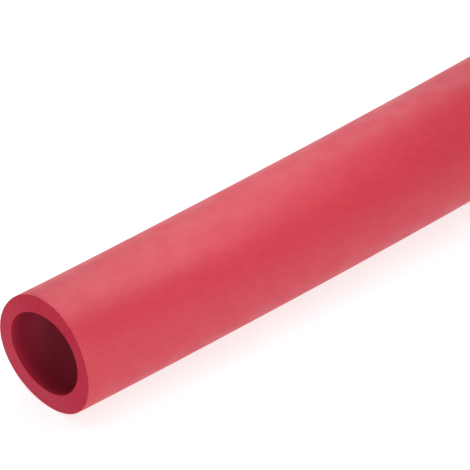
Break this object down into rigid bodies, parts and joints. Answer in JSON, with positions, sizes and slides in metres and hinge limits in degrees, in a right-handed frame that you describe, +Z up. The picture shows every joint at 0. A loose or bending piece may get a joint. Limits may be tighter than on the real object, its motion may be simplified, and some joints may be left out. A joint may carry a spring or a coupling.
{
  "type": "pipe insulation tube",
  "caption": "Red closed-cell foam pipe lagging: one unslit thick-walled tube with a slight bow and square cut ends, to slide over a pipe.",
  "frame": {"origin": "on the floor, under the middle of the tube's bounding box", "axes": "+X along the chord of the bow from cut end to cut end, +Z up, the hollow side of the bow towards +Y"},
  "size_m": [1, 0.0912, 0.0669],
  "materials": {
    "red_foam": "matte, fine-celled foam with a smooth skin"
  },
  "bodies": {
    "root": {"insulation_tube": "red_foam"}
  },
  "joints": []
}
